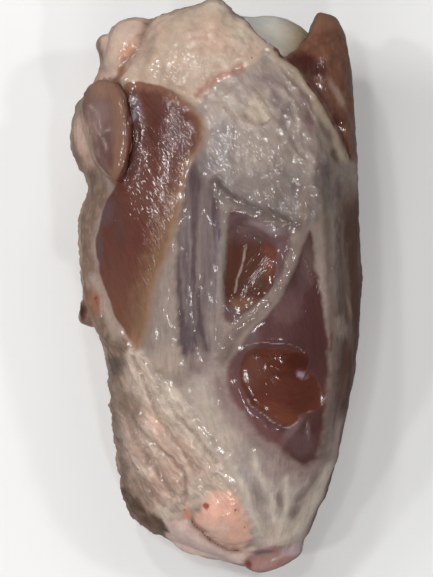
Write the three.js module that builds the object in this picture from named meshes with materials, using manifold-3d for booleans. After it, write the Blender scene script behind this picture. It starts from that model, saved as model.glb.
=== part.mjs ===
// A raw pork knuckle with its skin off, lying on its back.
// Units are millimetres. +Z is up, +Y points to the knee end, and the origin lies on the
// table, below the middle of the knuckle. The flesh is one solid: muscle, silverskin and fat
// have grown together. The shank bone is a second solid, which shows at the knee.

import * as THREE from "three";
import { mergeVertices } from "three/addons/utils/BufferGeometryUtils.js";
import Module from "manifold-3d";

const wasm = await Module();
wasm.setup();
const { clamp, degToRad, lerp, smoothstep } = THREE.MathUtils;

// Driving dimensions of the whole knuckle
const KNEE_END = 99; // where the meat was cut across at the knee
const HOCK_END = -105; // where it was cut across above the foot
const TABLE = 0;
const FIT_GAP = 0.3; // between the bone and the flesh around it

// Sections of the flesh from hock to knee: the distance along Y, the left and right edges in X,
// and the heights of the upper and lower side. A negative height is pressed flat by the table.
const SECTIONS = [
  [HOCK_END, 4, 28, 34, 8],
  [-88, -27, 36, 46, -1],
  [-60, -36, 45, 61, -3],
  [-20, -41, 52.3, 76, -3],
  [25, -44.5, 52.6, 80, -3],
  [70, -44.5, 50.3, 76, -3],
  [KNEE_END, -41, 48, 66, -2],
];
const SECTION_SQUARENESS = 0.86; // 1 is an ellipse, less is boxier
const FACES_AROUND = 68;
const FACES_ALONG = 62;
const UPPER_SIDE_FINENESS = 0.42; // share by which faces are narrower on the upper side

// How the flesh closes at both ends: share of the full section, and distance along Y.
const CLOSING = [
  [0, HOCK_END],
  [0.5, HOCK_END + 2],
  [0.92, HOCK_END + 9],
  [1, HOCK_END + 22],
  [1, -30],
  [1, 45],
  [1, KNEE_END - 16],
  [0.98, KNEE_END - 6],
  [0.88, KNEE_END - 1],
  [0.6, KNEE_END],
  [0, KNEE_END],
];
const KNEE_SLANT = 9; // how much further the knee cut reaches at the top than at the table

// The knee fat bulges over the cut: places in X, half widths, and how far each reaches along Y.
const KNEE_FAT = [
  { at: -8, halfWidth: 14, reach: 5.5 },
  { at: 0.5, halfWidth: 4.5, reach: 4.5 },
];

// The strip of back fat along the left edge, which stands out sideways in two rounded lips.
const BACK_FAT = {
  height: 40,
  halfHeight: 16,
  lips: [
    { at: 58, halfLength: 17, reach: 9 },
    { at: 10, halfLength: 26, reach: 7 },
  ],
};

// Long bellies of the muscles round the sides and the back.
const BELLIES = { count: 5, height: 1.6, twist: 0.006 };

// Outlines on the upper side, seen from above, that lie deeper than the tissue around them.
const HOLLOWS = {
  cutMuscle: {
    outline: [
      [-33, 75], [-18, 73], [-6, 63], [-6, 51], [-14, 28],
      [-23, -2], [-29, -22], [-42, 2], [-44, 18], [-35, 42],
    ],
    depth: 3,
    lip: 2.5,
  },
  upperWindow: {
    outline: [[5, 24], [17, 20], [22, 11], [18, -1], [8, -7], [2.5, -2], [3.5, 13]],
    depth: 3,
    lip: 1.8,
  },
  lowerWindow: {
    outline: [[10, -24], [31, -23], [38, -35], [36, -44], [26, -50], [13, -43], [8.5, -31]],
    depth: 2.6,
    lip: 1.8,
  },
};

// Lines on the upper side, seen from above: tendons stand proud, grooves have a negative height.
const LINES = {
  slantingTendon: { route: [[34.5, 47], [31, 20], [21, 0], [4, -14.5], [0, -24]], width: 4.2, height: 2.1 },
  innerTendon: { route: [[0, 34], [3, 20], [2.5, 8], [-0.5, -19]], width: 3.2, height: 1.6 },
  outerTendon: { route: [[35, 46], [39, 10], [42.5, -25], [38, -60]], width: 4.4, height: 1.9 },
  grooveBesideIt: { route: [[45, 36], [48, 5], [48.5, -20], [44, -50]], width: 3, height: -1.8 },
  silverGroove: { route: [[-9, 45], [-12, 10], [-8, -22]], width: 3.4, height: -1.7 },
  fasciaEdge: { route: [[-1, 36], [3, 29], [17, 25], [31, 21]], width: 3.2, height: 1.7 },
  kneeFatSeam: { route: [[-12, 66], [-4, 70], [5, 77], [12, 82]], width: 3, height: -1.8 },
  fatLumpSlit: { route: [[-12, -83], [-4, -92], [8, -97], [17, -94]], width: 2.6, height: -3.6 },
};

// Folds in the fat of the lower left side run downwards and to the right, side by side.
const FAT_FOLDS = {
  count: 6,
  start: [-37, -27],
  step: [-0.6, -8.6],
  run: [24, -27],
  sag: 3,
  lastShare: 0.55, // length of the last fold against the first
  width: 2.8,
  height: -1.8,
};

// Swellings of the upper side: place and radii seen from above, and height.
const SWELLINGS = {
  kneeFat: { at: [-8, 85], radii: [17, 14], height: 4 },
  kneeFascia: { at: [17, 52], radii: [19, 24], height: 3.5 },
  muscleUnderSilverskin: { at: [25, -30], radii: [13, 27], height: 4 },
  pinkFatLump: { at: [3, -85], radii: [8, 9], height: 5 },
  fatBesideShank: { at: [-22, -55], radii: [13, 24], height: 2.5 },
  hockSheath: { at: [24, -80], radii: [9, 16], height: 2 },
};

// Pieces that overlap the flesh, by their outlines seen from above: the height of their middle,
// their thickness there, and how far they rise to the right and to the knee, in degrees.
const FLAPS = {
  kneeFatSideLobe: {
    outline: [
      [-41.5, 79], [-40.7, 89], [-37.8, 97], [-31, 99.8],
      [-24, 98.2], [-26, 90], [-30, 83], [-36, 75],
    ],
    height: 46,
    thickness: 30,
    riseRight: 12,
    riseKnee: 0,
  },
  skinTip: {
    outline: [[-44.5, 92.5], [-41, 93.5], [-37, 86], [-40, 78], [-42.5, 84]],
    height: 46,
    thickness: 8,
    riseRight: 30,
    riseKnee: 0,
  },
  foldedEndOfCutMuscle: {
    outline: [
      [-43, 77], [-36, 73.5], [-32.5, 64], [-32.3, 48], [-36.5, 38.5],
      [-43, 44], [-48, 55], [-50, 66], [-48.5, 73],
    ],
    height: 61,
    thickness: 15,
    riseRight: 44,
    riseKnee: 0,
  },
  kneeMuscle: {
    outline: [
      [36.8, 102.5], [45.5, 99.3], [49.5, 82], [51, 53], [48.5, 50],
      [41.5, 61], [33, 72], [23.5, 81], [24.5, 85.5], [30, 89.5], [34.5, 95.5],
    ],
    height: 46.5,
    thickness: 28,
    riseRight: -23,
    riseKnee: -6,
  },
  bloodSpot: {
    outline: [[-50, -4.5], [-45, -4], [-42, -9], [-46, -14.5], [-51, -11.5]],
    height: 38,
    thickness: 9,
    riseRight: 0,
    riseKnee: 0,
  },
  rindAtHock: {
    outline: [[-34.5, -72], [-33, -83], [-27.5, -89], [-23.5, -92.5], [-18.5, -92], [-17, -84], [-25, -74]],
    height: 17,
    thickness: 26,
    riseRight: 0,
    riseKnee: 0,
  },
  skinEdgeAtHock: {
    outline: [[-19, -84], [-18, -94], [-12, -99], [0, -102], [12.5, -103.5], [17, -97], [8, -90], [-8, -83]],
    height: 24,
    thickness: 15,
    riseRight: 0,
    riseKnee: 16,
  },
  hockTendonEnd: {
    outline: [
      [11, -103], [15, -97.5], [23.5, -92.5], [31.5, -93],
      [32, -99], [25, -104], [17, -106.5], [12.5, -105.7],
    ],
    height: 25,
    thickness: 17,
    riseRight: 0,
    riseKnee: 0,
  },
};
const FLAP_FACES = { around: 24, along: 10 };
const FLAP_SQUARENESS = 0.72;

// At the knee the upper side was cut away to the right of this line, down to a sloping floor.
const KNEE_CUT = {
  line: [[7, 112], [9.5, 99], [17, 90.5], [26, 83.5], [35, 74], [43, 62], [50, 46]],
  right: 70,
  hockEnd: 46,
  kneeEnd: 112,
  top: 120,
  floorAtKnee: 35,
  floorAtHock: 60,
};

// The shank bone: radius and distance along Y, from the cartilage at the knee to its lower end.
const BONE = {
  profile: [
    [0, 101.2], [9, 101], [16, 98.4], [22, 94], [25, 87], [23, 76], [15, 61],
    [10.5, 44], [9, 0], [9.5, -40], [11, -58], [7, -66], [0, -68],
  ],
  at: [13, 40], // its axis in X and Z
  flatness: 0.74,
  notch: { depth: 1, width: 4, length: 22 }, // between the two knuckles of the joint
  facesAround: 28,
  facesAlong: 30,
};

// Meshes and solids

const MERGE = 1e-3;

// A geometry with only its corners left, shared by neighbouring faces, and no collapsed faces.
function closedGeometry(geometry) {
  geometry.deleteAttribute("normal");
  geometry.deleteAttribute("uv");
  const merged = mergeVertices(geometry, MERGE);
  const corners = Array.from(merged.index.array);
  const kept = [];
  for (let i = 0; i < corners.length; i += 3) {
    const [a, b, c] = corners.slice(i, i + 3);
    if (a !== b && b !== c && c !== a) kept.push(a, b, c);
  }
  merged.setIndex(kept);
  return merged;
}

// Moves every corner of a geometry to where place() puts it.
function reshape(geometry, place) {
  const corners = geometry.attributes.position;
  const point = new THREE.Vector3();
  for (let i = 0; i < corners.count; i += 1) {
    point.fromBufferAttribute(corners, i);
    place(point);
    corners.setXYZ(i, point.x, point.y, point.z);
  }
  return geometry;
}

function toSolid(geometry) {
  return new wasm.Manifold(
    new wasm.Mesh({
      numProp: 3,
      vertProperties: new Float32Array(geometry.attributes.position.array),
      triVerts: new Uint32Array(geometry.index.array),
    }),
  );
}

function toMesh(solid, name, material) {
  const { vertProperties, triVerts } = solid.getMesh();
  const geometry = new THREE.BufferGeometry();
  geometry.setAttribute("position", new THREE.BufferAttribute(vertProperties, 3));
  geometry.setIndex(new THREE.BufferAttribute(triVerts, 1));
  geometry.computeVertexNormals();
  const mesh = new THREE.Mesh(geometry, material);
  mesh.name = name;
  return mesh;
}

// The main body of a solid, without the loose scraps that cutting can leave.
function mainBody(solid) {
  return solid.decompose().reduce((largest, body) => (body.volume() > largest.volume() ? body : largest));
}

// Lines and outlines seen from above

const CURVE_STEPS = 36;

const toVectors = (points) => points.map(([x, y]) => new THREE.Vector2(x, y));

function smoothLine(route) {
  return new THREE.SplineCurve(toVectors(route)).getPoints(CURVE_STEPS);
}

function smoothOutline(outline) {
  const corners = outline.map(([x, y]) => new THREE.Vector3(x, y, 0));
  return new THREE.CatmullRomCurve3(corners, true).getPoints(CURVE_STEPS);
}

// Distance from a point to the nearest stretch of a line of points.
function distanceTo(points, x, y) {
  let nearest = Infinity;
  for (let i = 1; i < points.length; i += 1) {
    const [a, b] = [points[i - 1], points[i]];
    const [dx, dy] = [b.x - a.x, b.y - a.y];
    const along = ((x - a.x) * dx + (y - a.y) * dy) / (dx * dx + dy * dy);
    const share = clamp(along, 0, 1);
    nearest = Math.min(nearest, Math.hypot(x - a.x - share * dx, y - a.y - share * dy));
  }
  return nearest;
}

function insideOf(points, x, y) {
  let inside = false;
  for (let i = 1; i < points.length; i += 1) {
    const [a, b] = [points[i - 1], points[i]];
    const crosses = a.y > y !== b.y > y && x < a.x + ((y - a.y) / (b.y - a.y)) * (b.x - a.x);
    if (crosses) inside = !inside;
  }
  return inside;
}

// Distance to a closed outline, positive inside it.
function depthInside(points, x, y) {
  const distance = distanceTo(points, x, y);
  return insideOf(points, x, y) ? distance : -distance;
}

// How far an outline lies from a point inside it, in one direction.
function distanceOut(points, middle, angle) {
  const [dx, dy] = [Math.cos(angle), Math.sin(angle)];
  let distance = 0;
  for (let i = 1; i < points.length; i += 1) {
    const [a, b] = [points[i - 1], points[i]];
    const [ex, ey] = [b.x - a.x, b.y - a.y];
    const [mx, my] = [a.x - middle.x, a.y - middle.y];
    const cross = dx * ey - dy * ex;
    const along = (mx * dy - my * dx) / cross;
    const out = (mx * ey - my * ex) / cross;
    if (along >= 0 && along <= 1 && out > distance) distance = out;
  }
  return distance;
}

// Relief of the upper side

function foldLines() {
  const { count, start, step, run, sag, lastShare, width, height } = FAT_FOLDS;
  return Array.from({ length: count }, (_, i) => {
    const [x, y] = [start[0] + i * step[0], start[1] + i * step[1]];
    const middle = [x + run[0] / 2 - sag, y + run[1] / 2 - sag];
    const share = lerp(1, lastShare, i / (count - 1));
    return { route: [[x, y], middle, [x + run[0] * share, y + run[1] * share]], width, height };
  });
}

const hollows = Object.values(HOLLOWS).map(({ outline, ...sizes }) => {
  return { points: smoothOutline(outline), ...sizes };
});
const lines = [...Object.values(LINES), ...foldLines()].map(({ route, ...sizes }) => {
  return { points: smoothLine(route), ...sizes };
});

// A bell-shaped share that is 1 in the middle and fades with the distance.
const bell = (distance) => Math.exp(-(distance ** 2));

// How far the upper side stands out at a place seen from above.
function relief(x, y) {
  let height = 0;
  for (const { points, depth, lip } of hollows) {
    height -= depth * smoothstep(depthInside(points, x, y), -lip, lip);
  }
  for (const { points, width, height: rise } of lines) {
    height += rise * bell(distanceTo(points, x, y) / width);
  }
  for (const { at, radii, height: rise } of Object.values(SWELLINGS)) {
    height += rise * bell((x - at[0]) / radii[0]) * bell((y - at[1]) / radii[1]);
  }
  return height;
}

// The flesh

const sectionAt = new THREE.CubicInterpolant(
  SECTIONS.map(([y]) => y),
  SECTIONS.flatMap(([, ...sizes]) => sizes),
  4,
);

const softened = (value) => Math.sign(value) * Math.abs(value) ** SECTION_SQUARENESS;

// A round bar that closes at both ends, spun about Y, with its faces evenly long.
function roundBar() {
  const widest = 50;
  const closing = new THREE.SplineCurve(toVectors(CLOSING.map(([share, y]) => [share * widest, y])));
  const shares = closing.getSpacedPoints(FACES_ALONG);
  const profile = shares.map(({ x, y }) => new THREE.Vector2(Math.max(x / widest, 0), y));
  profile[0].x = 0;
  profile.at(-1).x = 0;
  return closedGeometry(new THREE.LatheGeometry(profile, FACES_AROUND));
}

// How far the back fat stands out to the left.
function backFat(y, z) {
  const { height, halfHeight, lips } = BACK_FAT;
  const reaches = lips.map(({ at, halfLength, reach }) => reach * bell(((y - at) / halfLength) ** 2));
  return bell((z - height) / halfHeight) * Math.max(...reaches);
}

// How far the flesh reaches past the cut at the knee: the slant of the cut, and the knee fat.
function kneeReach(x, y, z, upper) {
  const slant = KNEE_SLANT * (z / upper - 1) * smoothstep(y, KNEE_END - 40, KNEE_END);
  const nearKnee = smoothstep(y, KNEE_END - 22, KNEE_END) * smoothstep(z, 20, 60);
  const fat = KNEE_FAT.reduce((sum, { at, halfWidth, reach }) => sum + reach * bell((x - at) / halfWidth), 0);
  return slant + nearKnee * fat;
}

function placeOnFlesh(point) {
  const share = Math.hypot(point.x, point.z);
  const even = Math.atan2(point.z, point.x);
  const angle = even + UPPER_SIDE_FINENESS * Math.cos(even);
  const [left, right, upper, lower] = sectionAt.evaluate(point.y);
  const across = softened(Math.cos(angle));
  const rising = softened(Math.sin(angle));
  const [halfWidth, halfHeight] = [(right - left) / 2, (upper - lower) / 2];
  point.x = (left + right) / 2 + share * halfWidth * across;
  point.z = (upper + lower) / 2 + share * halfHeight * rising;
  const facingUp = smoothstep(Math.sin(angle), 0.02, 0.4);
  const outwards = new THREE.Vector2(across / halfWidth, rising / halfHeight).normalize();
  const belly = BELLIES.height * Math.sin(BELLIES.count * angle + BELLIES.twist * point.y) * share;
  const rise = lerp(belly, relief(point.x, point.y), facingUp);
  const lip = backFat(point.y, point.z) * smoothstep(-across, 0.3, 0.9);
  point.x += outwards.x * rise - lip;
  point.z = Math.max(TABLE, point.z + outwards.y * rise);
  point.y += kneeReach(point.x, point.y, point.z, upper);
}

// A rounded slab with an outline seen from above, thickest in the middle.
function flap({ outline, height, thickness, riseRight, riseKnee }) {
  const points = smoothOutline(outline);
  const middle = new THREE.Box2().setFromPoints(points).getCenter(new THREE.Vector2());
  const ball = new THREE.SphereGeometry(1, FLAP_FACES.around, FLAP_FACES.along).rotateX(Math.PI / 2);
  return toSolid(
    reshape(closedGeometry(ball), (point) => {
      const angle = Math.atan2(point.y, point.x);
      const reach = Math.hypot(point.x, point.y) ** FLAP_SQUARENESS * distanceOut(points, middle, angle);
      const [dx, dy] = [reach * Math.cos(angle), reach * Math.sin(angle)];
      const bulge = (thickness / 2) * Math.sign(point.z) * Math.abs(point.z) ** FLAP_SQUARENESS;
      const slope = dx * Math.tan(degToRad(riseRight)) + dy * Math.tan(degToRad(riseKnee));
      point.set(middle.x + dx, middle.y + dy, Math.max(TABLE, height + bulge + slope));
    }),
  );
}

// What was cut away at the knee: everything right of the cut line and above its floor.
function kneeCutter() {
  const { line, right, hockEnd, kneeEnd, top, floorAtKnee, floorAtHock } = KNEE_CUT;
  const shape = new THREE.Shape(smoothLine(line));
  shape.lineTo(right, hockEnd);
  shape.lineTo(right, kneeEnd);
  const block = new THREE.ExtrudeGeometry(shape, { depth: top, bevelEnabled: false });
  return toSolid(
    reshape(closedGeometry(block), (point) => {
      const share = (point.y - hockEnd) / (kneeEnd - hockEnd);
      if (point.z < top) point.z = lerp(floorAtHock, floorAtKnee, share);
    }),
  );
}

// The shank bone

// The bone's surface, grown outwards by a gap.
function boneSurface(gap) {
  const { profile, at, flatness, notch, facesAround, facesAlong } = BONE;
  const outline = new THREE.SplineCurve(toVectors(profile)).getSpacedPoints(facesAlong).reverse();
  outline[0].x = 0;
  outline.at(-1).x = 0;
  const bar = closedGeometry(new THREE.LatheGeometry(outline, facesAround));
  const [top, bottom] = [profile[0][1], profile.at(-1)[1]];
  return reshape(bar, (point) => {
    const radius = Math.hypot(point.x, point.z);
    const grown = radius > 0 ? (radius + gap) / radius : 1;
    const nearTop = smoothstep(point.y, top - notch.length, top);
    point.y += point.y > (top + bottom) / 2 ? gap : -gap;
    point.y -= notch.depth * nearTop * bell(point.x / notch.width);
    point.x = at[0] + point.x * grown;
    point.z = at[1] + point.z * grown * flatness;
  });
}

// The knuckle

const fleshMaterial = new THREE.MeshStandardMaterial({ color: 0xa58d82, roughness: 0.35, metalness: 0 });
const boneMaterial = new THREE.MeshStandardMaterial({ color: 0xc2bbb0, roughness: 0.3, metalness: 0 });

let flesh = toSolid(reshape(roundBar(), placeOnFlesh)).subtract(kneeCutter());
for (const piece of Object.values(FLAPS)) flesh = flesh.add(flap(piece));
flesh = mainBody(flesh.subtract(toSolid(boneSurface(FIT_GAP))));
const bone = toSolid(boneSurface(0));

const knuckle = new THREE.Group();
knuckle.add(toMesh(flesh, "flesh", fleshMaterial));
knuckle.add(toMesh(bone, "shank_bone", boneMaterial));

// The origin is below the middle of the knuckle.
const box = new THREE.Box3().setFromObject(knuckle);
const middle = box.getCenter(new THREE.Vector3());
knuckle.position.set(-middle.x, -middle.y, -box.min.z);

export default knuckle;
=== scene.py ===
# %% [markdown]
# # A raw pork knuckle, finished in Blender
#
# The knuckle comes in as two plain solids: the flesh and the shank bone. This lesson turns
# them into wet raw meat: cut muscle, silverskin, tendons and fat on one skin, and the
# cartilage of the bone's head. Sizes are in millimetres and are turned into metres with MM.

# %% Load the frame
import math

import bmesh
import bpy
import numpy as np
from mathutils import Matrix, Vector, noise


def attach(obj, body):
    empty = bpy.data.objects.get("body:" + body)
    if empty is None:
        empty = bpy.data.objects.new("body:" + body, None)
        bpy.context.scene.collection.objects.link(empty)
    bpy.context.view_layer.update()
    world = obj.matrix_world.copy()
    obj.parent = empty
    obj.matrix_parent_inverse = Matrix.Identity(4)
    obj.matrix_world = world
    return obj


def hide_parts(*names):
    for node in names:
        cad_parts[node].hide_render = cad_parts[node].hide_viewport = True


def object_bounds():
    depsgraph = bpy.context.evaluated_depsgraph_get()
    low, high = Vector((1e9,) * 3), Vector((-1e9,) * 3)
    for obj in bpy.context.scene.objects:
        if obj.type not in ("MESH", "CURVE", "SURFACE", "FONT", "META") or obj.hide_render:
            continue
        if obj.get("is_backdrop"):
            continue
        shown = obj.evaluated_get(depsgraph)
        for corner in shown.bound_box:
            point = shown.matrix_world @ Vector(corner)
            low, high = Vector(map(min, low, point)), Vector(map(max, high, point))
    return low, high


MM = 0.001
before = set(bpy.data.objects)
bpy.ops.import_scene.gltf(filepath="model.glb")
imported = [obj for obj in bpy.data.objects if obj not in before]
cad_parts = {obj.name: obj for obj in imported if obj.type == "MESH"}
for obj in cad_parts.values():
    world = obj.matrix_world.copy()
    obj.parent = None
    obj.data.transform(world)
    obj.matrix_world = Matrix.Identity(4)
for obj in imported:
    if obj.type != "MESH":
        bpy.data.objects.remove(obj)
cad_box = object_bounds()
print("solids:", sorted(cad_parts), "size in mm:", [round(v / MM, 1) for v in cad_box[1] - cad_box[0]])

# %% [markdown]
# ## Camera
# The knuckle was photographed from straight above. A short lens would make the crown of the
# meat look too large against its outline, so the camera stands far off with a long lens. The
# picture's long side covers a fixed length at the height where the outline lies.

# %% Camera
EYE_HEIGHT = 1600 * MM
OUTLINE_HEIGHT = 42 * MM
PICTURE_LENGTH = 213.5 * MM

camera_data = bpy.data.cameras.new("camera")
camera_data.lens = camera_data.sensor_width * (EYE_HEIGHT - OUTLINE_HEIGHT) / PICTURE_LENGTH
camera = bpy.data.objects.new("camera", camera_data)
camera.location = (0, 0, EYE_HEIGHT)
bpy.context.collection.objects.link(camera)
bpy.context.scene.camera = camera
print("lens in mm:", round(camera_data.lens))

# %% [markdown]
# ## Light
# Wet meat shows its light in many small sparkles. One large lamp alone would lay a milky haze
# over every wet face, so the work is shared. Large lamps around the table carry the light and
# stay out of reflections. Small lamps between them add the sparkles. Their places are in metres
# from the middle of the table, and their powers in watts.

# %% Lamps
SOFT_SIZE = 0.50
SOFT_LAMPS = {
    "left_soft": ((-0.92, 0.50, 0.90), 4.6),
    "knee_soft": ((0.20, 1.03, 0.90), 2.3),
    "hock_soft": ((-0.20, -1.03, 0.90), 3.5),
    "right_soft": ((1.04, 0.10, 0.90), 1.0),
}
SPARK_SIZE = 0.10
SPARK_TURNS = (25, 115, 160, 205, 290)
SPARK_RING = 0.80
SPARK_HEIGHT = 1.10
SPARK_POWER = 2.0
TOP_SPARK = (-0.22, 0.22, 1.35)
TOP_POWER = 1.5


def add_lamp(name, place, size, power, sparkles):
    data = bpy.data.lights.new(name, "AREA")
    data.shape = "DISK"
    data.size = size
    data.energy = power
    lamp = bpy.data.objects.new(name, data)
    lamp.location = place
    lamp.rotation_euler = (-Vector(place)).to_track_quat("-Z", "Y").to_euler()
    lamp.visible_camera = False
    lamp.visible_glossy = sparkles
    bpy.context.collection.objects.link(lamp)


for name, (place, power) in SOFT_LAMPS.items():
    add_lamp(name, place, SOFT_SIZE, power, False)
for turn in SPARK_TURNS:
    direction = math.radians(turn)
    place = (SPARK_RING * math.cos(direction), SPARK_RING * math.sin(direction), SPARK_HEIGHT)
    add_lamp(f"spark_{turn}", place, SPARK_SIZE, SPARK_POWER, True)
add_lamp("spark_top", TOP_SPARK, SPARK_SIZE, TOP_POWER, True)

# %% [markdown]
# ## Room and floor
# No room shows, so a weak even light from all sides stands for it. The floor is one plain, pale
# sheet. It stays out of reflections like the large lamps, so that the meat keeps its dark edges.

# %% Room and floor
ROOM_LIGHT = 0.12
FLOOR_SIZE = 8.0
FLOOR_TONE = (0.9, 0.9, 0.89, 1)
FLOOR_ROUGHNESS = 0.9


def feed(target, inputs):
    """Link or set the inputs of a node by their names."""
    for name, value in inputs.items():
        if isinstance(value, bpy.types.NodeSocket):
            target.id_data.links.new(value, target.inputs[name])
        else:
            target.inputs[name].default_value = value


def new_material(name):
    """A material with nodes, its node tree and its main shader."""
    material = bpy.data.materials.new(name)
    material.use_nodes = True
    return material, material.node_tree, material.node_tree.nodes["Principled BSDF"]


def to_object(form, name):
    mesh = bpy.data.meshes.new(name)
    form.to_mesh(mesh)
    form.free()
    piece = bpy.data.objects.new(name, mesh)
    bpy.context.collection.objects.link(piece)
    return piece


world = bpy.data.worlds.new("room")
world.use_nodes = True
background = world.node_tree.nodes["Background"]
feed(background, {"Color": (1, 1, 1, 1), "Strength": ROOM_LIGHT})
bpy.context.scene.world = world
bpy.context.scene.view_settings.view_transform = "Standard"

floor_form = bmesh.new()
bmesh.ops.create_grid(floor_form, x_segments=1, y_segments=1, size=FLOOR_SIZE / 2)
floor = to_object(floor_form, "floor")
floor_paper, tree, shader = new_material("floor_paper")
feed(shader, {"Base Color": FLOOR_TONE, "Roughness": FLOOR_ROUGHNESS})
floor.data.materials.append(floor_paper)
floor.visible_glossy = False
floor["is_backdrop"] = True
print("floor of", FLOOR_SIZE, "m a side, room light", ROOM_LIGHT)

# %% [markdown]
# ## The body of the flesh
# The solid has flat facets and hard joins between its flaps. A voxel remesh of a merged copy
# gives small even faces all over, which smoothing then makes soft, as meat is. The bone's
# pocket would waste faces inside, so its deep part is closed with a plug: a copy of the bone
# that is cut off behind the head and grown a little, so that it melts into the flesh.

# %% Plug for the bone's pocket
MERGE_GAP = 0.005 * MM
PLUG_END = 68 * MM
PLUG_GROWTH = 0.6 * MM


def merged_copy(node_name):
    form = bmesh.new()
    form.from_mesh(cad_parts[node_name].data)
    bmesh.ops.remove_doubles(form, verts=form.verts, dist=MERGE_GAP)
    return form


plug = merged_copy("shank_bone")
everything = plug.verts[:] + plug.edges[:] + plug.faces[:]
cut = bmesh.ops.bisect_plane(
    plug, geom=everything, plane_co=(0, PLUG_END, 0), plane_no=(0, 1, 0), clear_outer=True
)
rim = [part for part in cut["geom_cut"] if isinstance(part, bmesh.types.BMEdge)]
bmesh.ops.edgeloop_fill(plug, edges=rim)
plug.normal_update()
for vert in plug.verts:
    vert.co += vert.normal * PLUG_GROWTH
plug_mesh = bpy.data.meshes.new("plug")
plug.to_mesh(plug_mesh)
plug.free()
print("plug:", len(plug_mesh.polygons), "faces, cut off at", round(PLUG_END / MM), "mm from the middle")

# %% Flesh body
VOXEL = 0.95 * MM
SMOOTHINGS = 5
SMOOTHING_SHARE = 0.5


def remesh(piece, voxel):
    modifier = piece.modifiers.new("even_faces", "REMESH")
    modifier.mode = "VOXEL"
    modifier.voxel_size = voxel
    graph = bpy.context.evaluated_depsgraph_get()
    mesh = bpy.data.meshes.new_from_object(piece.evaluated_get(graph))
    piece.modifiers.clear()
    piece.data = mesh
    mesh.name = piece.name


def soften(piece, times):
    form = bmesh.new()
    form.from_mesh(piece.data)
    axes = {"use_axis_x": True, "use_axis_y": True, "use_axis_z": True}
    for _ in range(times):
        bmesh.ops.smooth_vert(form, verts=form.verts, factor=SMOOTHING_SHARE, **axes)
    for face in form.faces:
        face.smooth = True
    form.to_mesh(piece.data)
    form.free()


flesh_form = merged_copy("flesh")
flesh_form.from_mesh(plug_mesh)
bpy.data.meshes.remove(plug_mesh)
flesh = to_object(flesh_form, "knuckle_flesh")
remesh(flesh, VOXEL)
soften(flesh, SMOOTHINGS)
print("flesh:", len(flesh.data.vertices), "points,", len(flesh.data.polygons), "faces")

# %% [markdown]
# ## Measuring places on the meat
# Every tissue has its place on the shown side, so outlines and routes are drawn as seen from
# above, through a few points each. For every point of the mesh we then measure how deep it
# lies inside an outline, or how far it is from a route. Those distances drive both the relief
# and the colours, which keeps them in step.

# %% Curves and distances
CURVE_STEPS = 7
REACH = 16.0


def smooth_curve(points, closed):
    """A curve through all the points that bends evenly at each of them."""
    corners = np.array(points, float)
    if closed:
        before, after, beyond = np.roll(corners, 1, 0), np.roll(corners, -1, 0), np.roll(corners, -2, 0)
        start = corners
    else:
        ends = np.vstack([2 * corners[0] - corners[1], corners, 2 * corners[-1] - corners[-2]])
        before, start, after, beyond = ends[:-3], ends[1:-2], ends[2:-1], ends[3:]
    t = np.linspace(0, 1, CURVE_STEPS, endpoint=False)[None, :, None]
    before, start, after, beyond = (p[:, None, :] for p in (before, start, after, beyond))
    bend = 2 * before - 5 * start + 4 * after - beyond
    twist = 3 * (start - after) + beyond - before
    curve = start + 0.5 * t * (after - before + t * (bend + t * twist))
    last = corners[:1] if closed else corners[-1:]
    return np.vstack([curve.reshape(-1, 2), last])


def distance_to(curve, plan):
    """How far each place is from the curve, REACH at most."""
    near = np.all((plan > curve.min(0) - REACH) & (plan < curve.max(0) + REACH), axis=1)
    places = plan[near]
    nearest = np.full(len(places), REACH**2)
    for a, b in zip(curve[:-1], curve[1:]):
        along = b - a
        share = np.clip((places - a) @ along / (along @ along), 0, 1)
        gap = places - a - share[:, None] * along
        nearest = np.minimum(nearest, (gap**2).sum(1))
    distance = np.full(len(plan), REACH)
    distance[near] = np.sqrt(nearest)
    return distance


def is_inside(curve, plan):
    """Whether each place lies inside: a ray from there crosses the curve an odd number of times."""
    inside = np.zeros(len(plan), bool)
    x, y = plan.T
    for (ax, ay), (bx, by) in zip(curve[:-1], curve[1:]):
        if ay != by:
            inside ^= ((ay > y) != (by > y)) & (x < ax + (y - ay) / (by - ay) * (bx - ax))
    return inside


def step(values, low, high):
    """A soft rise from 0 at low to 1 at high."""
    share = np.clip((values - low) / (high - low), 0, 1)
    return share * share * (3 - 2 * share)


def bell(values):
    """A hump of height 1 at zero that has died away at 2."""
    return np.exp(-(values**2))


ring = smooth_curve([(10, 0), (0, 10), (-10, 0), (0, -10)], True)
print("a smooth ring through 4 corners has", len(ring), "points")

# %% Places on the skin
WANDER = 0.6
WANDER_SIZE = 6.0


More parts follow.
